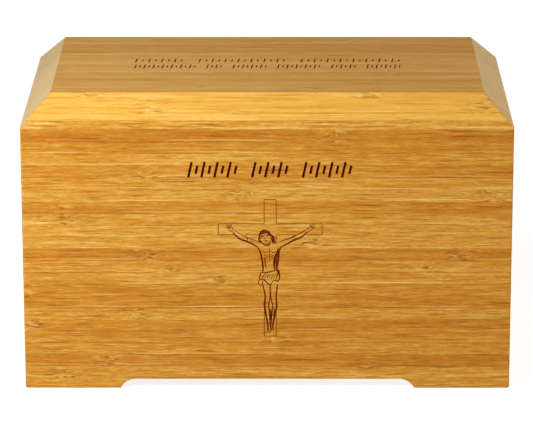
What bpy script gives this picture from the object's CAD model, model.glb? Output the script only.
import bpy
import numpy as np
from mathutils import Matrix, Vector


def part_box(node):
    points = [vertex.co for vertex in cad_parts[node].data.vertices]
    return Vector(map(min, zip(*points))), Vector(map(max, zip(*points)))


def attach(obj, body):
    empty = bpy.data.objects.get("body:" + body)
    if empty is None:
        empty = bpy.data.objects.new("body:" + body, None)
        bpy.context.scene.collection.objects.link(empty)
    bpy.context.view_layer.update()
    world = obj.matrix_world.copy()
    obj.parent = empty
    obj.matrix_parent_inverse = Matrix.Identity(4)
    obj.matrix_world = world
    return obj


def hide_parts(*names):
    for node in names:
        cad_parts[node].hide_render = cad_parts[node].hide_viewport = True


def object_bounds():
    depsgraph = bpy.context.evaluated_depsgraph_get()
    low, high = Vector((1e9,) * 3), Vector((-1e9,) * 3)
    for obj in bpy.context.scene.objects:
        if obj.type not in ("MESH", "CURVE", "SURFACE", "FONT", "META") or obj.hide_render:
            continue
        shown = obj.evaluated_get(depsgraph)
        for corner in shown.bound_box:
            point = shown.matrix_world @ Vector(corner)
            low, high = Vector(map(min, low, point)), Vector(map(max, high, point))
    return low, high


# bamboo cremation urn box: eased boards, V-cut engraving, laminated bamboo, studio light and camera
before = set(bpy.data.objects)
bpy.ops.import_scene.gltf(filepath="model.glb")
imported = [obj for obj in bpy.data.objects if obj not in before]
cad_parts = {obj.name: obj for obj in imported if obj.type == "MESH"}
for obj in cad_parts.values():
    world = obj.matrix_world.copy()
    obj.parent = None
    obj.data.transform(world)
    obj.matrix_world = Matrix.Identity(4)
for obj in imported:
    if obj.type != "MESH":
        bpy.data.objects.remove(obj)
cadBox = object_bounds()
mm = 0.001
print("frame loaded:", len(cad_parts), "nodes")

# the box's own sizes in millimetres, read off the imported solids
boxLow, boxHigh = (np.array(corner) / mm for corner in cadBox)
boxWidth, boxDepth, boxHeight = boxHigh - boxLow
topLow = np.array(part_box("top_board")[0]) / mm
frontLow, frontHigh = (np.array(corner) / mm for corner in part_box("front_wall"))
panelLow, panelHigh = (np.array(corner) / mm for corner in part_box("base_panel"))
boardThickness = frontHigh[1] - frontLow[1]
wallTop = frontHigh[2]
topUnderside = topLow[2]
bevelInset = topLow[0] - boxLow[0]  # how far in the bevel has come at the top board's underside
bevelFoot = topUnderside - bevelInset  # height where the 45 degree bevel leaves the walls
bevel = boxHeight - bevelFoot


# mesh helpers

def unit(vectors):
    # each row divided by its own length
    return vectors / np.linalg.norm(vectors, axis=-1, keepdims=True)


def arc(centre, radius, start, end, steps):
    # centre plus radius times the cosine and sine of an angle that runs from start to end, in degrees
    angle = np.radians(np.linspace(start, end, steps))
    return np.column_stack([centre[0] + radius * np.cos(angle), centre[1] + radius * np.sin(angle)])


def gridQuads(rows, columns):
    # quads between neighbours of a grid whose rows close into a ring
    index = np.arange(rows * columns).reshape(rows, columns)
    index = np.vstack([index, index[:1]])
    corners = [index[:-1, :-1], index[:-1, 1:], index[1:, 1:], index[1:, :-1]]
    return np.stack(corners, axis=-1).reshape(-1, 4)


def addMesh(name, points, faces, materials):
    # a mesh object at the origin, from points in millimetres
    mesh = bpy.data.meshes.new(name)
    mesh.from_pydata((points * mm).tolist(), [], faces)
    for material in materials:
        mesh.materials.append(material)
    piece = bpy.data.objects.new(name, mesh)
    bpy.context.scene.collection.objects.link(piece)
    return piece


def applyModifiers(piece):
    # the piece keeps the mesh that its modifiers give, and loses the modifiers
    bpy.context.view_layer.update()
    shown = piece.evaluated_get(bpy.context.evaluated_depsgraph_get())
    old = piece.data
    piece.data = bpy.data.meshes.new_from_object(shown)
    piece.data.name = piece.name
    piece.modifiers.clear()
    bpy.data.meshes.remove(old)


def smoothShade(piece, sharpAngle):
    # smooth faces, sharp edges above that angle in degrees, and flat faces kept flat by their area
    piece.data.shade_smooth()
    piece.data.set_sharp_from_angle(angle=np.radians(sharpAngle))
    weighted = piece.modifiers.new("flat faces", "WEIGHTED_NORMAL")
    weighted.keep_sharp = True


# material helpers

def linear(hexColour):
    # sRGB hex to linear light: the low end is divided by 12.92, the rest follows the 2.4 power curve
    value = np.array([int(hexColour[i:i + 2], 16) for i in (1, 3, 5)]) / 255
    light = np.where(value <= 0.04045, value / 12.92, ((value + 0.055) / 1.055) ** 2.4)
    return (*light.tolist(), 1.0)


def addNode(tree, kind, *inputs, links=None, **settings):
    # one node with its settings: inputs fill its sockets in order, links fill sockets by name or number;
    # each is a value, another node's output, or a node that stands for its first output
    made = tree.nodes.new(kind if kind.startswith("Node") else "ShaderNode" + kind)
    for key, value in settings.items():
        setattr(made, key, value)
    for socket, value in {**dict(enumerate(inputs)), **(links or {})}.items():
        source = value.outputs[0] if isinstance(value, bpy.types.Node) else value
        if isinstance(source, bpy.types.NodeSocket):
            tree.links.new(source, made.inputs[socket])
        else:
            made.inputs[socket].default_value = source
    return made


def newMaterial(name):
    # a material with an empty node tree
    material = bpy.data.materials.new(name)
    material.use_nodes = True
    material.node_tree.nodes.clear()
    return material, material.node_tree


# bamboo: laminated strips on edge, caramelised by steam, sanded and lacquered satin. The eye gets golden
# strips of slightly different tone, long fine fibres, dark and light lines between strips, and wavy knuckles

bambooLook = {
    "stripWidth": 6.4,  # millimetres, as are all lengths here
    "stripWander": 1.2,
    "wave": 0.5,
    # noise cells as length, width and detail: slow changes over the board, breaks in the strips, and fibres
    "slow": {"wander": (110.0, 25.0, 1.0), "drift": (220.0, 130.0, 0.0)},
    "breaks": {"bow": (7.0, 2.6, 1.0), "gentle": (22.0, 7.0, 1.0), "darkRun": (50.0, 4.0, 2.0),
               "lightRun": (40.0, 4.0, 2.0)},
    "fibres": {"streak": (60.0, 1.8, 1.5), "fibre": (10.0, 0.7, 1.5), "fine": (2.8, 0.52, 1.0),
               "vein": (20.0, 0.6, 1.0), "gleam": (10.0, 0.6, 1.0), "dash": (8.0, 0.8, 1.5),
               "fleck": (4.5, 0.8, 1.0)},
    "toneStart": -0.34,
    "stripShare": 0.2,  # of the tone
    "toneShares": {"drift": 0.25, "streak": 0.46, "fibre": 0.42, "fine": 0.38},
    "veinStrength": 0.68,
    "gleamStrength": 0.26,
    "borderWidth": 0.75,
    "borderStrength": 0.6,
    "edgeStrength": 0.35,  # of the light line beside a border
    "knuckleSpacing": 170.0,
    "knuckleReach": 16.0,
    "knuckleBow": 2.6,
    "dashStrength": 0.42,
    "markStrength": 0.42,  # of the dashes at a knuckle's middle, on top of that
    "fleckStrength": 0.6,
    "dark": "#985106",
    "middle": "#b2751c",
    "light": "#c9a14a",
    "border": "#7c3900",
    "glint": "#e0bd70",
    "knuckle": "#844004",
}
# a paler board, straighter in its grain
topLook = {
    **bambooLook,
    "wave": 0.2,
    "knuckleBow": 1.6,
    "dashStrength": 0.3,
    "markStrength": 0.3,
    "fibres": {**bambooLook["fibres"], "streak": (70.0, 1.8, 1.0), "fibre": (16.0, 0.7, 1.5),
               "vein": (26.0, 0.6, 1.0)},
    "veinStrength": 0.5,
    "gleamStrength": 0.25,
    "dark": "#ae6d2a",
    "middle": "#bd873a",
    "light": "#cda05a",
    "border": "#935413",
    "glint": "#d8b678",
    "knuckle": "#87491a",
}
# the same board where the bevel cuts through it, lighter and yellower
edgeLook = {
    **topLook,
    "dark": "#bf7f24",
    "middle": "#c89335",
    "light": "#d5a653",
    "border": "#9d6214",
    "glint": "#dcb973",
    "knuckle": "#8f5a1a",
}


def fibreLayers(tree, place, shift, layers):
    # for each layer, noise whose cells have its length and width; shift and its own depth draw it anew
    made = {}
    for depth, (key, (length, width, detail)) in enumerate(layers.items()):
        cells = addNode(tree, "VectorMath", place, (1 / length, 1 / width, 0), (0, 0, 1.7 * depth),
                        operation="MULTIPLY_ADD")
        made[key] = addNode(tree, "TexNoise", cells, shift, 1.0, detail, noise_dimensions="4D")
    return made


def bambooGroup(name, look):
    # pattern of a board in millimetres, x along the strips and y across: strip = floor(across / width), and
    # tone = the strip's own draw plus shares of noise stretched along x, which picks the colour
    tree = bpy.data.node_groups.new(name, "ShaderNodeTree")
    for socket, kind, side in (("Place", "Vector", "INPUT"), ("Seed", "Float", "INPUT"),
                               ("Colour", "Color", "OUTPUT"), ("Height", "Float", "OUTPUT"),
                               ("Tone", "Float", "OUTPUT")):
        tree.interface.new_socket(socket, in_out=side, socket_type="NodeSocket" + kind)
    given = addNode(tree, "NodeGroupInput")
    place, seed = given.outputs["Place"], given.outputs["Seed"]
    axes = addNode(tree, "SeparateXYZ", place)
    along, across = axes.outputs[0], axes.outputs[1]

    # strips, whose edges wander a little
    layers = fibreLayers(tree, place, seed, look["slow"])
    wandered = addNode(tree, "Math", layers["wander"], look["stripWander"], across, operation="MULTIPLY_ADD")
    strips = addNode(tree, "Math", wandered, look["stripWidth"], operation="DIVIDE")
    strip = addNode(tree, "Math", strips, operation="FLOOR")
    inStrip = addNode(tree, "Math", strips, operation="FRACT")
    stripSeed = addNode(tree, "CombineXYZ", strip, seed)
    drawn = addNode(tree, "TexWhiteNoise", stripSeed, noise_dimensions="2D")
    lots = addNode(tree, "SeparateColor", drawn.outputs["Color"])
    stripShift = addNode(tree, "Math", strip, 7.31, seed, operation="MULTIPLY_ADD")

    # knuckles, at a place of their own along each strip
    shifted = addNode(tree, "Math", lots.outputs[2], 1000.0, along, operation="MULTIPLY_ADD")
    lengths = addNode(tree, "Math", shifted, look["knuckleSpacing"], operation="DIVIDE")
    length = addNode(tree, "Math", lengths, operation="FLOOR")
    inLength = addNode(tree, "Math", lengths, operation="FRACT")
    knuckleSeed = addNode(tree, "CombineXYZ", strip, length, seed)
    knuckleDrawn = addNode(tree, "TexWhiteNoise", knuckleSeed, noise_dimensions="3D")
    knuckleLots = addNode(tree, "SeparateColor", knuckleDrawn.outputs["Color"])
    middle = addNode(tree, "Math", knuckleLots.outputs[0], 0.6, 0.2, operation="MULTIPLY_ADD")
    fromMiddle = addNode(tree, "Math", inLength, middle, operation="SUBTRACT")
    gap = addNode(tree, "Math", fromMiddle, operation="ABSOLUTE")
    reach = look["knuckleReach"] / look["knuckleSpacing"]
    near = addNode(tree, "MapRange", gap, reach, 0.1 * reach, interpolation_type="SMOOTHSTEP")
    strength = addNode(tree, "MapRange", knuckleLots.outputs[1], 0.1, 0.7, interpolation_type="SMOOTHSTEP")
    knuckle = addNode(tree, "Math", near, strength, operation="MULTIPLY")
    core = addNode(tree, "Math", knuckle, 3.0, operation="POWER")

    # fibres wave gently, and bow round the knuckles
    layers |= fibreLayers(tree, place, stripShift, look["breaks"])
    bowSize = addNode(tree, "Math", knuckle, 2 * look["knuckleBow"], look["wave"], operation="MULTIPLY_ADD")
    bow = addNode(tree, "Math", layers["bow"], 0.5, operation="SUBTRACT")
    gentle = addNode(tree, "Math", layers["gentle"], 0.5, operation="SUBTRACT")
    bowed = addNode(tree, "Math", bow, bowSize, across, operation="MULTIPLY_ADD")
    waved = addNode(tree, "Math", gentle, 2 * look["wave"], bowed, operation="MULTIPLY_ADD")
    onFibre = addNode(tree, "CombineXYZ", along, waved)
    layers |= fibreLayers(tree, onFibre, stripShift, look["fibres"])

    tone = addNode(tree, "Math", lots.outputs[0], look["stripShare"], look["toneStart"],
                   operation="MULTIPLY_ADD")
    for key, share in look["toneShares"].items():
        tone = addNode(tree, "Math", layers[key], share, tone, operation="MULTIPLY_ADD")
    ramp = addNode(tree, "ValToRGB", tone)
    stops = ramp.color_ramp.elements
    stops[0].position, stops[0].color = 0.2, linear(look["dark"])
    stops[1].position, stops[1].color = 0.8, linear(look["light"])
    stops.new(0.5).color = linear(look["middle"])

    # a dark broken line where strips meet, with a light one beside it
    width = look["borderWidth"]
    moved = addNode(tree, "Math", waved, across, operation="SUBTRACT")
    border = addNode(tree, "Math", inStrip, look["stripWidth"], moved, operation="MULTIPLY_ADD")
    beside = addNode(tree, "Math", border, 1.5 * width, operation="SUBTRACT")
    besideGap = addNode(tree, "Math", beside, operation="ABSOLUTE")
    eased = {key: addNode(tree, "MapRange", value, low, high, 0.0, most, interpolation_type="SMOOTHSTEP")
             for key, value, low, high, most in (
                 ("border", border, 0.9 * width, 0.3 * width, look["borderStrength"]),
                 ("edge", besideGap, 0.7 * width, 0.1 * width, look["edgeStrength"]),
                 ("darkRun", layers["darkRun"], 0.42, 0.64, 1.0),
                 ("lightRun", layers["lightRun"], 0.45, 0.65, 1.0),
                 ("vein", layers["vein"], 0.55, 0.72, look["veinStrength"]),
                 ("gleam", layers["gleam"], 0.59, 0.78, look["gleamStrength"]),
                 ("dash", layers["dash"], 0.5, 0.63, 1.0),
                 ("fleck", layers["fleck"], 0.53, 0.66, look["fleckStrength"]))}

    # colour: the tone's own, then veins, gleams, borders and knuckles laid over it in turn
    faint = addNode(tree, "Math", knuckle, look["dashStrength"], operation="MULTIPLY")
    marked = addNode(tree, "Math", core, look["markStrength"], faint, operation="MULTIPLY_ADD")
    colour = ramp.outputs[0]
    for amount, within, tint in (("vein", 1.0, "border"), ("gleam", 1.0, "glint"),
                                 ("border", eased["darkRun"], "border"), ("edge", eased["lightRun"], "glint"),
                                 ("dash", marked, "knuckle"), ("fleck", core, "light")):
        share = addNode(tree, "Math", eased[amount], within, operation="MULTIPLY")
        laid = addNode(tree, "Mix", links={0: share, 6: colour, 7: linear(look[tint])}, data_type="RGBA")
        colour = laid.outputs[2]

    height = addNode(tree, "Math", layers["fine"], 0.5, layers["fibre"], operation="MULTIPLY_ADD")
    dented = addNode(tree, "Math", layers["dash"], knuckle, operation="MULTIPLY")
    height = addNode(tree, "Math", dented, 0.4, height, operation="MULTIPLY_ADD")
    addNode(tree, "NodeGroupOutput", colour, height, tone)
    return tree


wallPattern = bambooGroup("bamboo wall pattern", bambooLook)
topPattern = bambooGroup("bamboo top pattern", topLook)
edgePattern = bambooGroup("bamboo edge pattern", edgeLook)


def bambooBoard(name, order, seed, pattern):
    # order names the object axes that run along, across and through the board
    material, tree = newMaterial(name)
    coords = addNode(tree, "TexCoord")
    axes = addNode(tree, "SeparateXYZ", coords.outputs["Object"])
    turned = addNode(tree, "CombineXYZ", *[axes.outputs[axis] for axis in order])
    inMm = addNode(tree, "VectorMath", turned, links={"Scale": 1 / mm}, operation="SCALE")
    grain = addNode(tree, "Group", node_tree=pattern)
    tree.links.new(inMm.outputs[0], grain.inputs["Place"])
    grain.inputs["Seed"].default_value = seed
    height = grain.outputs["Height"]
    rough = addNode(tree, "MapRange", height, 0.4, 1.1, 0.42, 0.56)
    bump = addNode(tree, "Bump", links={"Strength": 0.25, "Distance": 0.06 * mm, "Height": height})
    shader = addNode(tree, "BsdfPrincipled", links={"Base Color": grain.outputs["Colour"], "Roughness": rough,
                                                    "Normal": bump, "Specular IOR Level": 0.12})
    addNode(tree, "OutputMaterial", shader)
    return material


# bamboo end grain: the cut ends of the strips, paler and greyer, with the fibre bundles as fine dark dots

endGrainLook = {"dotWidth": 0.5, "dotLength": 1.6, "pale": "#c6a570", "grey": "#b38f58", "dot": "#8a663c"}


def bambooEnd(name, seed, look):
    # the strips' own tone at the same place, and noise cells drawn out down the slope for the bundles
    material, tree = newMaterial(name)
    coords = addNode(tree, "TexCoord")
    inMm = addNode(tree, "VectorMath", coords.outputs["Object"], links={"Scale": 1 / mm}, operation="SCALE")
    across = addNode(tree, "VectorMath", inMm, (0, 1, 0), operation="MULTIPLY")
    grain = addNode(tree, "Group", node_tree=topPattern)
    tree.links.new(across.outputs[0], grain.inputs["Place"])
    grain.inputs["Seed"].default_value = seed
    perCell = (0, 1 / look["dotWidth"], 1 / look["dotLength"])
    cells = addNode(tree, "VectorMath", inMm, perCell, operation="MULTIPLY")
    dots = addNode(tree, "TexNoise", links={"Vector": cells, "Scale": 1.0, "Detail": 2.0})
    toned = addNode(tree, "MapRange", grain.outputs["Tone"], 0.25, 0.75)
    dotted = addNode(tree, "MapRange", dots, 0.5, 0.75, 0.0, 0.55)
    colour = addNode(tree, "Mix", links={0: toned, 6: linear(look["grey"]), 7: linear(look["pale"])},
                     data_type="RGBA")
    colour = addNode(tree, "Mix", links={0: dotted, 6: colour.outputs[2], 7: linear(look["dot"])},
                     data_type="RGBA")
    bump = addNode(tree, "Bump", links={"Strength": 0.2, "Distance": 0.06 * mm, "Height": dots})
    shader = addNode(tree, "BsdfPrincipled", links={"Base Color": colour.outputs[2], "Normal": bump,
                                                    "Roughness": 0.55, "Specular IOR Level": 0.25})
    addNode(tree, "OutputMaterial", shader)
    return material


# burnt bamboo: the walls of an engraved groove, charred to a dark red brown and dull, in the front's row.
# Browned and scorched are the lighter burns of the figure and top rows, and of the cross

burntLook = {"char": "#380502", "scorch": "#621806", "patch": 1.2}
brownedLook = {"char": "#521703", "scorch": "#8c400a", "patch": 1.2}
scorchedLook = {"char": "#783a05", "scorch": "#96560c", "patch": 1.2}


def burntBamboo(name, look):
    # noise patches of that size in millimetres move between char and scorch
    material, tree = newMaterial(name)
    coords = addNode(tree, "TexCoord")
    patches = addNode(tree, "TexNoise", links={"Vector": coords.outputs["Object"], "Detail": 3.0,
                                               "Scale": 1 / (look["patch"] * mm)})
    amount = addNode(tree, "MapRange", patches, 0.35, 0.75)
    colour = addNode(tree, "Mix", links={0: amount, 6: linear(look["char"]), 7: linear(look["scorch"])},
                     data_type="RGBA")
    shader = addNode(tree, "BsdfPrincipled", links={"Base Color": colour.outputs[2], "Roughness": 0.8,
                                                    "Specular IOR Level": 0.02})
    addNode(tree, "OutputMaterial", shader)
    return material


# zinc-plated steel: cold-headed wood screws, bright grey with a faint cloudy passivation

zincLook = {"bright": "#c9c6bd", "cloud": "#a39e90", "patch": 1.5}


def zincSteel(look):
    # noise clouds of that size in millimetres tint the metal and vary its polish
    material, tree = newMaterial("zinc-plated steel")
    coords = addNode(tree, "TexCoord")
    clouds = addNode(tree, "TexNoise", links={"Vector": coords.outputs["Object"], "Detail": 4.0,
                                              "Scale": 1 / (look["patch"] * mm)})
    colour = addNode(tree, "Mix", links={0: clouds, 6: linear(look["bright"]), 7: linear(look["cloud"])},
                     data_type="RGBA")
    rough = addNode(tree, "MapRange", clouds, 0.0, 1.0, 0.22, 0.42)
    shader = addNode(tree, "BsdfPrincipled", links={"Base Color": colour.outputs[2], "Roughness": rough,
                                                    "Metallic": 1.0})
    addNode(tree, "OutputMaterial", shader)
    return material


frontBamboo = bambooBoard("laminated bamboo front", "XZY", 33.0, wallPattern)
backBamboo = bambooBoard("laminated bamboo back", "XZY", 11.0, wallPattern)
leftBamboo = bambooBoard("laminated bamboo left", "YZX", 17.0, wallPattern)
rightBamboo = bambooBoard("laminated bamboo right", "YZX", 23.0, wallPattern)
topBamboo = bambooBoard("laminated bamboo top", "XYZ", 31.0, topPattern)
edgeBamboo = bambooBoard("laminated bamboo top edge", "XYZ", 31.0, edgePattern)
baseBamboo = bambooBoard("laminated bamboo base", "XYZ", 41.0, wallPattern)
topEndGrain = bambooEnd("bamboo end grain", 31.0, endGrainLook)
burnt = burntBamboo("burnt bamboo", burntLook)
browned = burntBamboo("browned bamboo", brownedLook)
scorched = burntBamboo("scorched bamboo", scorchedLook)
zinc = zincSteel(zincLook)
print("materials made:", len(bpy.data.materials))


# walls

wallForm = {
    "ease": 0.8,  # radius of the long edges
    "cornerEase": 1.1,  # radius of the box's upright corners
    "cornerSteps": 5,
    "footLength": 50.0,  # along the floor, from the corner to the arch
    "archRadius": 8.9,
    "archSteps": 14,
    "rebateWidth": 7.0,
    "jointGap": 0.04,  # hairline at the mitres
}
footHeight = panelLow[2]
archRun = np.sqrt(wallForm["archRadius"] ** 2 - (wallForm["archRadius"] - footHeight) ** 2)


def archRise(x, length, form):
    # height of a wall's lower edge: nothing under the feet, then a quarter round up to the arch
    pastFoot = np.clip(length / 2 - form["footLength"] - np.abs(x), 0, archRun)
    return np.sqrt(form["archRadius"] ** 2 - (archRun - pastFoot) ** 2) - (form["archRadius"] - footHeight)


def wallSection(form):
    # ring of (inward, up) points: from the foot's outer edge up the face, over the bevel, down the inside
    ease = form["ease"]
    bend = ease * np.tan(np.radians(22.5))
    rebateFace = boardThickness - form["rebateWidth"]
    rebateTop = panelHigh[2] + topUnderside - wallTop
    seam = topUnderside - form["jointGap"]
    skin = np.vstack([
        arc((ease, ease), ease, 270, 180, 5),
        arc((ease, bevelFoot - bend), ease, 180, 135, 4),
        [[seam - bevelFoot, seam]],
    ])
    inside = np.array([
        [boardThickness, seam],
        [boardThickness, rebateTop],
        [rebateFace, rebateTop],
        [rebateFace, 0.0],
    ])
    ring = np.vstack([skin, inside])
    isSkin = np.arange(len(ring)) < len(skin)
    onFoot = (ring[:, 1] < ease + 0.01) * 1.0
    return ring, isSkin, onFoot


def wallMesh(name, length, turn, materials, form):
    # the section carried along x; at each end the skin turns 45 degrees on the corner's radius to the mitre
    ring, isSkin, onFoot = wallSection(form)
    inward, up = ring[:, :1], ring[:, 1:]
    half = length / 2 - form["jointGap"]
    radius = form["cornerEase"]
    archEnd = np.pi / 2 - np.arcsin(archRun / form["archRadius"])
    archAngle = np.linspace(np.pi / 2, archEnd, form["archSteps"])
    archX = length / 2 - form["footLength"] - archRun + form["archRadius"] * np.cos(archAngle)
    lastX = half - boardThickness - 3
    middleX = np.concatenate([[-lastX], -archX[::-1], archX, [lastX]])[None, :]
    steps = form["cornerSteps"]
    theta = np.radians(np.linspace(0, 45, steps))[None, :]
    share = np.arange(1, steps + 1)[None, :] / steps
    skinX = half - inward - radius + radius * np.sin(theta)
    plainX = lastX + (half - inward - lastX) * share
    cornerX = np.where(isSkin[:, None], skinX, plainX)
    cornerIn = inward + np.where(isSkin[:, None], radius * (1 - np.cos(theta)), 0 * theta)
    x = np.hstack([-cornerX[:, ::-1], np.broadcast_to(middleX, (len(ring), middleX.size)), cornerX])
    y = np.hstack([cornerIn[:, ::-1], np.broadcast_to(inward, (len(ring), middleX.size)), cornerIn])
    z = up + onFoot[:, None] * archRise(x, length, form)
    out = (boxDepth if abs(np.sin(turn)) < 0.5 else boxWidth) / 2 - y
    cosine, sine = np.cos(turn), np.sin(turn)
    points = np.stack([x * cosine + out * sine, x * sine - out * cosine, z], axis=-1)
    rows, columns = x.shape
    ends = np.arange(rows) * columns
    faces = gridQuads(rows, columns).tolist() + [ends.tolist(), (ends + columns - 1)[::-1].tolist()]
    wall = addMesh(name, points.reshape(-1, 3), faces, materials)
    onBevel = np.arange(rows) == np.sum(isSkin) - 2  # the last material goes on the bevel
    indices = np.append(np.repeat(onBevel * (len(materials) - 1), columns - 1), [0, 0])
    wall.data.polygons.foreach_set("material_index", indices.astype(np.int32))
    return wall


frontWall = wallMesh("front_board", boxWidth, 0, [frontBamboo], wallForm)
rightWall = wallMesh("right_board", boxDepth, np.pi / 2, [rightBamboo, topEndGrain], wallForm)
backWall = wallMesh("back_board", boxWidth, np.pi, [backBamboo], wallForm)
leftWall = wallMesh("left_board", boxDepth, -np.pi / 2, [leftBamboo, topEndGrain], wallForm)
print("walls made")


# top board

topForm = {"ease": 0.7, "hipEase": 1.0, "hipSteps": 4}


def topMesh(form):
    # profile of (inset, height) points carried round a rectangle whose corners are quarter circles
    bend = form["ease"] * np.tan(np.radians(22.5))
    edge = arc((bevel + bend, boxHeight - form["ease"]), form["ease"], 135, 90, 4)
    profile = np.vstack([[[bevelInset, topUnderside]], edge])
    inset, height = profile[:, 0], profile[:, 1]
    angle = np.radians(np.concatenate([np.linspace(start, start - 90, form["hipSteps"])
                                       for start in (360, 270, 180, 90)]))
    signX = np.repeat([1, -1, -1, 1], form["hipSteps"])
    signY = np.repeat([-1, -1, 1, 1], form["hipSteps"])
    radius = form["hipEase"]
    x = signX[:, None] * (boxWidth / 2 - inset - radius) + radius * np.cos(angle)[:, None]
    y = signY[:, None] * (boxDepth / 2 - inset - radius) + radius * np.sin(angle)[:, None]
    points = np.stack([x, y, np.broadcast_to(height, x.shape)], axis=-1)
    rows, columns = x.shape
    ends = np.arange(rows) * columns
    faces = gridQuads(rows, columns).tolist() + [ends.tolist(), (ends + columns - 1)[::-1].tolist()]
    return addMesh("top_panel", points.reshape(-1, 3), faces, [topBamboo, topEndGrain, edgeBamboo])


topBoard = topMesh(topForm)


def bevelFinishes(piece):
    # tilted faces get the second material where they look left or right, the third where to front or back
    count = len(piece.data.polygons)
    normals = np.zeros(count * 3)
    piece.data.polygons.foreach_get("normal", normals)
    normals = np.abs(normals.reshape(-1, 3))
    ends = (normals[:, 0] > normals[:, 1]) & (normals[:, 0] > 0.45)
    sides = (normals[:, 1] >= normals[:, 0]) & (normals[:, 1] > 0.45)
    piece.data.polygons.foreach_set("material_index", (ends + 2 * sides).astype(np.int32))


bevelFinishes(topBoard)
print("top board made")


# engraving: every stroke is a path of (across, up) points in millimetres on a face, and a width

lineWidth = {"hair": 0.32, "fine": 0.45, "medium": 0.7, "heavy": 1.0, "broad": 1.4}
finishes = [burnt, browned, scorched]


def smoothLine(points, steps):
    # uniform Catmull-Rom curve: each stretch blends its two ends and their neighbours by cubic weights
    points = np.asarray(points, float)
    t = np.linspace(0, len(points) - 1, steps)
    start = np.minimum(t.astype(int), len(points) - 2)
    w = (t - start)[:, None]
    before, here, there, after = (points[np.clip(start + i, 0, len(points) - 1)] for i in (-1, 0, 1, 2))
    bend = (2 * before - 5 * here + 4 * there - after) * w ** 2
    return here + 0.5 * ((there - before) * w + bend + (3 * here - before - 3 * there + after) * w ** 3)


def straight(start, end, width, finish):
    # a stroke of one width between two points
    return {"path": np.array([start, end], float), "width": width, "ends": 1.0, "finish": finish}


def curved(points, width, ends=0.3, steps=14):
    # a stroke along a smooth line, thinner at its ends
    return {"path": smoothLine(points, steps), "width": width, "ends": ends, "finish": browned}


rowLook = {"height": 8.2, "shortHeight": 4.4, "line": 1.3, "lean": 0.22, "space": 0.9, "tallPlace": 0.25,
           "shortPlace": 0.75, "finish": burnt}
topRowLook = {**rowLook, "line": 0.75, "lean": 0.08, "finish": browned}


def strokeRow(groups, width, middle, look):
    # evenly spaced leaning strokes, tall and short by turns; a cell is the row's width over cells and spaces
    pitch = width / (sum(groups) + look["space"] * (len(groups) - 1))
    cells = np.concatenate([np.arange(count) + sum(groups[:i]) + look["space"] * i
                            for i, count in enumerate(groups)])
    strokes = []
    for share, height in (("tallPlace", look["height"]), ("shortPlace", look["shortHeight"])):
        reach = np.array([look["lean"] * height / 2, height / 2])
        for x in middle[0] - width / 2 + pitch * (cells + look[share]):
            centre = np.array([x, middle[1]])
            strokes.append(straight(centre - reach, centre + reach, look["line"], look["finish"]))
    return strokes


crossForm = {"foot": 28.8, "head": 103.1, "armFoot": 84.1, "armHead": 90.1, "reach": 26.9, "halfBeam": 3.1,
             "shownShaft": 43.0, "shownBeamOuter": 18.8, "shownBeamInner": 13.2, "besideHead": -6.2,
             "besideNeck": 80.8}


def crossStrokes(form):
    # outline of the cross, without the stretches behind the figure
    foot, head, armFoot, armHead = form["foot"], form["head"], form["armFoot"], form["armHead"]
    reach, beam = form["reach"], form["halfBeam"]
    lines = [((-beam, head), (beam, head)), ((-beam, foot), (beam, foot)),
             ((-form["shownBeamInner"], armFoot), (form["besideHead"], armFoot)),
             ((form["shownBeamInner"], armFoot), (beam, armFoot)),
             ((beam, armFoot), (beam, form["besideNeck"]))]
    for side in (-1, 1):
        lines += [((side * beam, foot), (side * beam, form["shownShaft"])),
                  ((side * beam, armHead), (side * beam, head)),
                  ((side * beam, armHead), (side * reach, armHead)),
                  ((side * reach, armHead), (side * reach, armFoot)),
                  ((side * reach, armFoot), (side * form["shownBeamOuter"], armFoot))]
    return [straight(start, end, lineWidth["fine"], scorched) for start, end in lines]


# joints as (across, up, half width), from the cross's middle line and the floor
figureForm = {
    "leftArm": [(-5.6, 78.5, 1.35), (-8.6, 80.1, 1.2), (-12.2, 81.6, 1), (-15.4, 83.1, 1.2),
                (-18.9, 86, 0.75)],
    "rightArm": [(5.2, 78.9, 1.4), (8.2, 80.3, 1.2), (11.6, 81.9, 0.95), (15.4, 83.7, 1.05),
                 (19.2, 86.4, 0.7)],
    "leftLeg": [(-2, 57.4, 1.9), (-1.35, 50.6, 1.25), (-1.9, 46.2, 1.1), (-1.35, 41, 0.95), (-0.7, 35.4, 0.6),
                (-0.6, 32.2, 0.75)],
    "rightLeg": [(1.9, 57.4, 1.9), (1.7, 50.2, 1.35), (2.3, 45.6, 1.05), (1.75, 41, 0.8), (0.95, 36, 0.5),
                 (0.85, 32.4, 0.5)],
    "torso": [(-0.4, 77.5, 5.9), (-0.2, 74.5, 4.8), (0, 70.5, 4.2), (-0.1, 66, 3.6), (-0.1, 64, 3.8)],
    "palmReach": 1.6,
    "fingers": ((-0.35, 3.2), (0.03, 3.7), (0.4, 3.6), (0.8, 3.0)),  # turn in radians and length
    "thumb": (-1.0, 1.7),
}


def limbSide(joints, side, width, steps=30):
    # the joints' smooth centre line, moved sideways by the limb's smooth half width
    line = smoothLine(joints, steps)
    along = unit(np.gradient(line[:, :2], axis=0))
    out = side * line[:, 2:] * np.column_stack([-along[:, 1], along[:, 0]])
    return {"path": line[:, :2] + out, "width": width, "ends": 0.6, "finish": browned}


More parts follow.
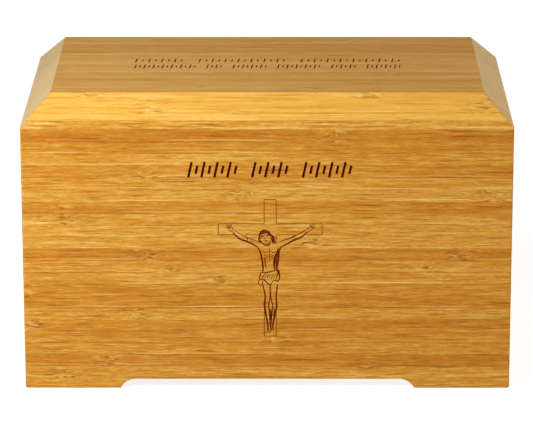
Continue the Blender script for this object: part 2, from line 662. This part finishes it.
def handStrokes(joints, form):
    # fingers fan out from the palm in line with the forearm and curl a little; palm and thumb stand beside
    before, wrist = np.array(joints)[-2:, :2]
    forearm = np.arctan2(*(wrist - before)[::-1])
    lean = np.sign(np.cos(forearm))  # the two hands mirror each other

    def heading(turn):
        # cosine and sine of the forearm's angle plus a turn
        return np.array([np.cos(forearm + lean * turn), np.sin(forearm + lean * turn)])

    palm = wrist + form["palmReach"] * heading(0)
    strokes = [curved([palm + 1.0 * heading(turn), palm + 0.6 * length * heading(turn),
                       palm + length * heading(turn + 0.12)], lineWidth["fine"], 0.5, 8)
               for turn, length in form["fingers"]]
    turn, length = form["thumb"]
    strokes += [curved([wrist + 0.5 * heading(-1.5), palm + 0.6 * length * heading(turn - 0.3),
                        palm + length * heading(turn + 0.2)], lineWidth["fine"], 0.5, 8)]
    strokes += [curved([wrist + 0.5 * heading(1.5), palm + 0.8 * heading(1.5), palm + 1.1 * heading(1.0)],
                       lineWidth["fine"], 0.5, 8)]
    return strokes


clothForm = {"left": -4.9, "right": 4.5, "top": 63.8, "knot": 65.3, "hem": 59.4, "point": 56.9, "tail": 56.0}


def clothStrokes(form):
    # edges and folds of the cloth between its corners: knotted at one side, a tail hanging at the other
    left, right, top, knot = form["left"], form["right"], form["top"], form["knot"]
    hem, point, tail = form["hem"], form["point"], form["tail"]
    middle, halfway = (left + right) / 2, (top + hem) / 2
    medium, fine = lineWidth["medium"], lineWidth["fine"]
    edges = [
        curved([(left, top), (middle - 1.5, top - 0.1), (right, knot)], medium),
        curved([(left - 0.8, hem), (left + 1.2, hem + 0.6), (middle, point), (middle + 1.6, hem)], medium),
        curved([(middle + 1.6, hem), (right - 1, hem - 0.3), (right - 0.4, hem - 1)], medium),
        curved([(right, knot), (right + 0.4, halfway), (right - 0.4, hem - 1)], medium),
        curved([(left, top), (left - 0.4, halfway), (left - 0.8, hem)], medium),
        curved([(right - 0.8, knot - 0.1), (right - 0.2, top), (right - 0.9, halfway)], lineWidth["heavy"]),
        curved([(left - 0.8, hem), (left - 1.3, hem - 1.5), (left + 0.1, tail)], fine),
        curved([(left + 1, hem), (left + 0.9, hem - 1.5), (left + 0.1, tail)], fine),
    ]
    folds = [curved([(x + 1.2, top - 0.6), (x, halfway), (x - 0.3, hem + 0.4)], width)
             for x, width in zip(np.linspace(left + 1.2, right - 1.2, 7), [fine, lineWidth["hair"]] * 4)]
    return edges + folds


headForm = {"centre": (-2.5, 82.6), "halfWidth": 3.2, "halfHeight": 3.8, "tilt": 15.0, "strands": 6}


def headStrokes(form):
    # drawn upright where the half width and half height are 1, then scaled, tilted and put in place
    tilt = np.radians(form["tilt"])
    turn = np.array([[np.cos(tilt), np.sin(tilt)], [-np.sin(tilt), np.cos(tilt)]])
    hair, fine = lineWidth["hair"], lineWidth["fine"]
    medium, heavy = lineWidth["medium"], lineWidth["heavy"]

    def ellipse(reach, rise, start, end):
        # a part of the unit circle, stretched by reach across and rise up
        return arc((0, 0), 1, start, end, 7) * (reach, rise)

    drawn = [
        ([(-0.95, 0.15), (-0.86, -0.4), (-0.55, -0.88), (-0.15, -1.2)], medium),  # cheeks and jaw
        ([(0.15, -1.2), (0.5, -0.9), (0.78, -0.45), (0.84, 0)], fine),
        ([(1, 0.3), (1.35, -0.3), (1.2, -0.8), (1.7, -1.2)], heavy),  # locks of hair on the shoulder
        ([(0.92, 0.25), (1.12, -0.35), (0.98, -0.8), (1.3, -1.25)], medium),
        ([(0.86, 0.05), (0.95, -0.55), (0.8, -1.1)], fine),
        ([(-1, 0.35), (-1.14, -0.15), (-1, -0.6)], medium),
        ([(-0.66, 0.14), (-0.4, 0.22), (-0.16, 0.12)], fine),  # brows
        ([(0.16, 0.12), (0.4, 0.22), (0.66, 0.14)], fine),
        ([(-0.57, -0.02), (-0.38, -0.08), (-0.2, -0.02)], hair),  # closed eyes
        ([(0.2, -0.02), (0.38, -0.08), (0.57, -0.02)], hair),
        ([(-0.06, 0.1), (-0.1, -0.18), (-0.16, -0.34), (0.06, -0.38)], hair),  # nose
        ([(-0.2, -0.62), (0, -0.64), (0.2, -0.62)], hair),  # mouth
        ([(-0.34, -0.56), (-0.12, -0.47), (0.12, -0.47), (0.34, -0.56)], fine),  # moustache
    ]
    drawn += [([(x, -0.76 + 0.2 * abs(x)), (0.8 * x, -1.0), (0.4 * x, -1.28)], hair)
              for x in np.linspace(-0.55, 0.55, 7)]  # beard
    drawn += [(ellipse(1.06 - 0.1 * share, 1.02 - 0.34 * share, 12, 168), heavy if share < 0.2 else medium)
              for share in np.linspace(0, 1, form["strands"])]  # hair above the band
    drawn += [(ellipse(0.92, 0.34, 10, 75), heavy), (ellipse(0.92, 0.34, 60, 165), fine)]  # hair under it
    for angle in np.radians(np.linspace(35, 150, 7)):  # twists of the band
        twist = np.array([[np.cos(angle), np.sin(angle)]]) * [[0.94, 0.6], [0.9, 0.42]]
        drawn.append((twist + [[-0.05, 0], [0.05, 0]], hair))
    scale = (form["halfWidth"], form["halfHeight"])
    return [curved(np.asarray(points) * scale @ turn + form["centre"], width) for points, width in drawn]


def figureStrokes(form):
    # contour lines of the limbs, the body's inner lines and shading, hands, head and cloth
    hair, fine, medium, heavy, broad = lineWidth.values()
    contours = [("leftArm", 1, heavy), ("leftArm", -1, fine), ("rightArm", 1, medium),
                ("rightArm", -1, heavy), ("torso", -1, heavy), ("torso", 1, heavy),
                ("leftLeg", -1, heavy), ("leftLeg", 1, medium), ("rightLeg", -1, medium),
                ("rightLeg", 1, heavy)]
    body = [
        ([(-0.4, 77.4), (-0.3, 73.5), (-0.3, 69.4)], fine),  # middle line of the chest
        ([(-4.4, 75.6), (-2.4, 74.4), (-0.8, 75.2)], fine),  # breast
        ([(0.2, 75.2), (1.6, 74.5), (3, 75.4)], fine),
        ([(-3.1, 72), (-2.7, 69.2), (-2.2, 66)], medium),  # side of the belly
        ([(-2.9, 68.5), (-2.4, 67), (-1.8, 65.6)], fine),
        ([(4.3, 77), (3.4, 74), (2.5, 71), (2.1, 67.5), (2.6, 65)], broad),  # shaded flank
        ([(4.6, 75.5), (3.9, 72.5), (3.2, 69), (3, 66)], medium),
        ([(3.3, 80.2), (2.6, 80.7), (1.9, 81)], fine),  # shoulders
        ([(-5.3, 79.8), (-5.1, 80.2), (-4.8, 80.6)], fine),
        ([(-10.8, 80.6), (-9.4, 80.6), (-8.2, 80)], hair),  # muscles of the upper arms
        ([(8.4, 79.5), (10, 80.3), (11, 81)], hair),
        ([(-0.5, 66.9), (-0.2, 66.6), (0, 66.9)], fine),  # navel
        ([(-12, 83.1), (-11.7, 81.6), (-12.2, 80.6)], fine),  # crooks of the elbows
        ([(11.5, 82), (11.9, 81), (11.3, 80.2)], fine),
        ([(0.1, 44), (0.35, 41), (0.2, 37.5)], heavy),  # shade between the shins
        ([(-2.6, 47.4), (-1.9, 46.9), (-1.2, 47.5)], fine),  # knees
        ([(-2.7, 45.2), (-2, 44.8), (-1.4, 45.3)], hair),
        ([(1.6, 46.9), (2.3, 46.3), (3, 46.8)], fine),
        ([(2.3, 44.6), (2.1, 42), (1.5, 39.4)], medium),  # shaded calf
        ([(-1.2, 32.3), (-0.5, 31.5), (1.2, 32.1)], fine),  # toes
        ([(-0.9, 33.4), (-0.85, 32.5), (-0.8, 32)], hair),
        ([(0.6, 33.4), (0.6, 32.6), (0.55, 32)], hair),
    ]
    body += [([(-3.4 + 0.25 * i, 73.4 - 1.15 * i), (-2.4, 72.9 - 1.15 * i), (-1, 73.5 - 0.9 * i)], hair)
             for i in range(3)]  # ribs
    body += [([(0.3, 73.5 - 0.9 * i), (1.4, 72.9 - 1.0 * i), (2.3 - 0.2 * i, 73.1 - 1.15 * i)], hair)
             for i in range(3)]
    strokes = [limbSide(form[key], side, width) for key, side, width in contours]
    strokes += [curved(points, width) for points, width in body]
    strokes += handStrokes(form["leftArm"], form) + handStrokes(form["rightArm"], form)
    return strokes + headStrokes(headForm) + clothStrokes(clothForm)


grooveForm = {"slope": 0.6, "lift": 0.2}  # depth over width, and how far the cutter stands clear


def grooveCutter(name, strokes, form, toFace):
    # a V carried along each path: two edges that stand clear of the face, the width apart at it, and a point
    points, faces, finish, count = [], [], [], 0
    for stroke in strokes:
        path, steps = stroke["path"], len(stroke["path"])
        along = unit(np.gradient(path, axis=0))
        side = np.column_stack([-along[:, 1], along[:, 0]])
        share = stroke["ends"] + (1 - stroke["ends"]) * np.sin(np.pi * np.linspace(0, 1, steps))
        depth = (stroke["width"] * share * form["slope"])[:, None]
        reach = side * (stroke["width"] * share)[:, None] / 2 * (1 + form["lift"] / depth)
        rise = np.full((steps, 1), form["lift"])
        rings = (np.hstack([path + reach, rise]), np.hstack([path, -depth]), np.hstack([path - reach, rise]))
        points.append(np.stack(rings).reshape(-1, 3))
        ends = np.arange(3) * steps
        closed = gridQuads(3, steps).tolist() + [ends.tolist(), (ends + steps - 1)[::-1].tolist()]
        faces += [[count + corner for corner in face] for face in closed]
        finish += [finishes.index(stroke["finish"])] * len(closed)
        count += 3 * steps
    cutter = addMesh(name, np.vstack(points) @ np.array(toFace[0]) + toFace[1], faces, finishes)
    cutter.data.polygons.foreach_set("material_index", np.array(finish, np.int32))
    return cutter


def engrave(piece, cutter):
    # the cutter's grooves come off the piece, and their walls take the cutter's burnt finish
    cut = piece.modifiers.new("engraving", "BOOLEAN")
    cut.object = cutter
    cut.operation = "DIFFERENCE"
    cut.solver = "EXACT"
    cut.use_self = True
    cut.material_mode = "TRANSFER"
    applyModifiers(piece)
    bpy.data.objects.remove(cutter)


engravingOffset = 1.6  # the engraving stands a little right of the front's middle
frontRow = {"groups": (4, 3, 4), "width": 86.0, "height": 119.1}
topRows = ({"groups": (4, 7, 8), "width": 144.0, "place": 7.2},
           {"groups": (7, 2, 4, 5, 3, 4), "width": 143.0, "place": -6.3})
frontStrokes = crossStrokes(crossForm) + figureStrokes(figureForm)
frontStrokes += strokeRow(frontRow["groups"], frontRow["width"], (0, frontRow["height"]), rowLook)
onFront = ([[1, 0, 0], [0, 0, 1], [0, -1, 0]], [engravingOffset, -boxDepth / 2, 0])
engrave(frontWall, grooveCutter("front cutter", frontStrokes, grooveForm, onFront))
topStrokes = [stroke for row in topRows
              for stroke in strokeRow(row["groups"], row["width"], (0, row["place"]), topRowLook)]
onTop = ([[1, 0, 0], [0, 1, 0], [0, 0, 1]], [0, 0, boxHeight])
engrave(topBoard, grooveCutter("top cutter", topStrokes, grooveForm, onTop))
print("engraving cut:", len(frontStrokes), "strokes on the front,", len(topStrokes), "on the top")


# what each piece stands for

pieces = ((frontWall, "front_wall", "bamboo_wall"), (rightWall, "right_wall", "bamboo_wall"),
          (backWall, "back_wall", "bamboo_wall"), (leftWall, "left_wall", "bamboo_wall"),
          (topBoard, "top_board", "bamboo_top"))
for piece, node, slot in pieces:
    smoothShade(piece, 28)
    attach(piece, "root")
    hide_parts(node)


def refinish(node, material):
    # a solid keeps its shape and takes the material
    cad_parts[node].data.materials.clear()
    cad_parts[node].data.materials.append(material)


refinish("base_panel", baseBamboo)
for number in range(1, 5):
    refinish(f"base_screw_{number}", zinc)
print("pieces riding:", len(pieces))


# studio: pale floor, soft front light a little from the left, and the camera

studio = {
    "floorHalf": 6.0,  # metres
    "floorColour": "#9c9b99",
    "floorGlow": 0.8,
    "keyFrom": (-0.46, -0.46, 0.52),
    "keySize": (0.4, 0.4),
    "keyPower": 8.6,
    "keyTint": (0.93, 1.0, 1.17),
    "fillFrom": (1.1, -0.15, 0.55),
    "fillSize": (0.6, 0.6),
    "fillPower": 10.4,
    "backFrom": (0.25, 1.25, 0.3),
    "backSize": (1.2, 0.5),
    "backPower": 4.5,
    "fillTint": (1.0, 0.99, 0.96),
    "backTint": (1.0, 1.0, 1.0),
    "worldLight": 0.1,
}


def paleFloor(look):
    # one large square on the floor plane
    half = look["floorHalf"] / mm
    corners = np.array([[-half, -half, 0], [half, -half, 0], [half, half, 0], [-half, half, 0]])
    material, tree = newMaterial("matt white paper")
    shader = addNode(tree, "BsdfPrincipled", links={
        "Base Color": linear(look["floorColour"]), "Roughness": 0.9, "Specular IOR Level": 0.0,
        "Emission Color": (1, 1, 1, 1), "Emission Strength": look["floorGlow"]})
    addNode(tree, "OutputMaterial", shader)
    floor = addMesh("floor", corners, [[0, 1, 2, 3]], [material])


def softLight(name, place, target, size, power, tint, shines):
    # a rectangular area light that faces the target; one that does not shine lays no gloss on the surfaces
    data = bpy.data.lights.new(name, "AREA")
    data.shape = "RECTANGLE"
    data.size, data.size_y = size
    data.energy = power
    data.color = tint
    light = bpy.data.objects.new(name, data)
    light.location = place
    light.rotation_euler = (Vector(target) - Vector(place)).to_track_quat("-Z", "Y").to_euler()
    light.visible_glossy = shines
    bpy.context.scene.collection.objects.link(light)


paleFloor(studio)
for part in ("key", "fill", "back"):
    softLight(part + " light", studio[part + "From"], (0, 0, 0.08), studio[part + "Size"],
              studio[part + "Power"], studio[part + "Tint"], part != "back")
world = bpy.data.worlds.new("soft room")
world.use_nodes = True
world.node_tree.nodes["Background"].inputs["Color"].default_value = (1, 1, 1, 1)
world.node_tree.nodes["Background"].inputs["Strength"].default_value = studio["worldLight"]
bpy.context.scene.world = world
bpy.context.scene.view_settings.view_transform = "Standard"

cameraForm = {
    "place": (7.50, -1712.71, 576.08),  # millimetres
    "pitch": 16.464,  # degrees below the horizon
    "yaw": 0.2737,
    "roll": -0.0765,
    "focalPixels": 3296.9,
    "imageWidth": 533,
    "sensor": 36.0,
}


def addCamera(form):
    # forward is turned by yaw about the upright and tipped down by pitch; roll turns right and up about it
    pitch, yaw, roll = (np.radians(form[key]) for key in ("pitch", "yaw", "roll"))
    right = np.array([np.cos(yaw), np.sin(yaw), 0])
    level = np.array([-np.sin(yaw), np.cos(yaw), 0])
    upright = np.array([0, 0, 1])
    forward = level * np.cos(pitch) - upright * np.sin(pitch)
    up = upright * np.cos(pitch) + level * np.sin(pitch)
    rolledRight = right * np.cos(roll) + up * np.sin(roll)
    rolledUp = up * np.cos(roll) - right * np.sin(roll)
    axes = np.column_stack([rolledRight, rolledUp, -forward])
    data = bpy.data.cameras.new("camera")
    data.sensor_width = form["sensor"]
    data.lens = form["focalPixels"] / form["imageWidth"] * form["sensor"]
    camera = bpy.data.objects.new("camera", data)
    camera.matrix_world = Matrix.Translation(Vector(form["place"]) * mm) @ Matrix(axes.tolist()).to_4x4()
    bpy.context.scene.collection.objects.link(camera)
    bpy.context.scene.camera = camera


addCamera(cameraForm)
print("studio made")
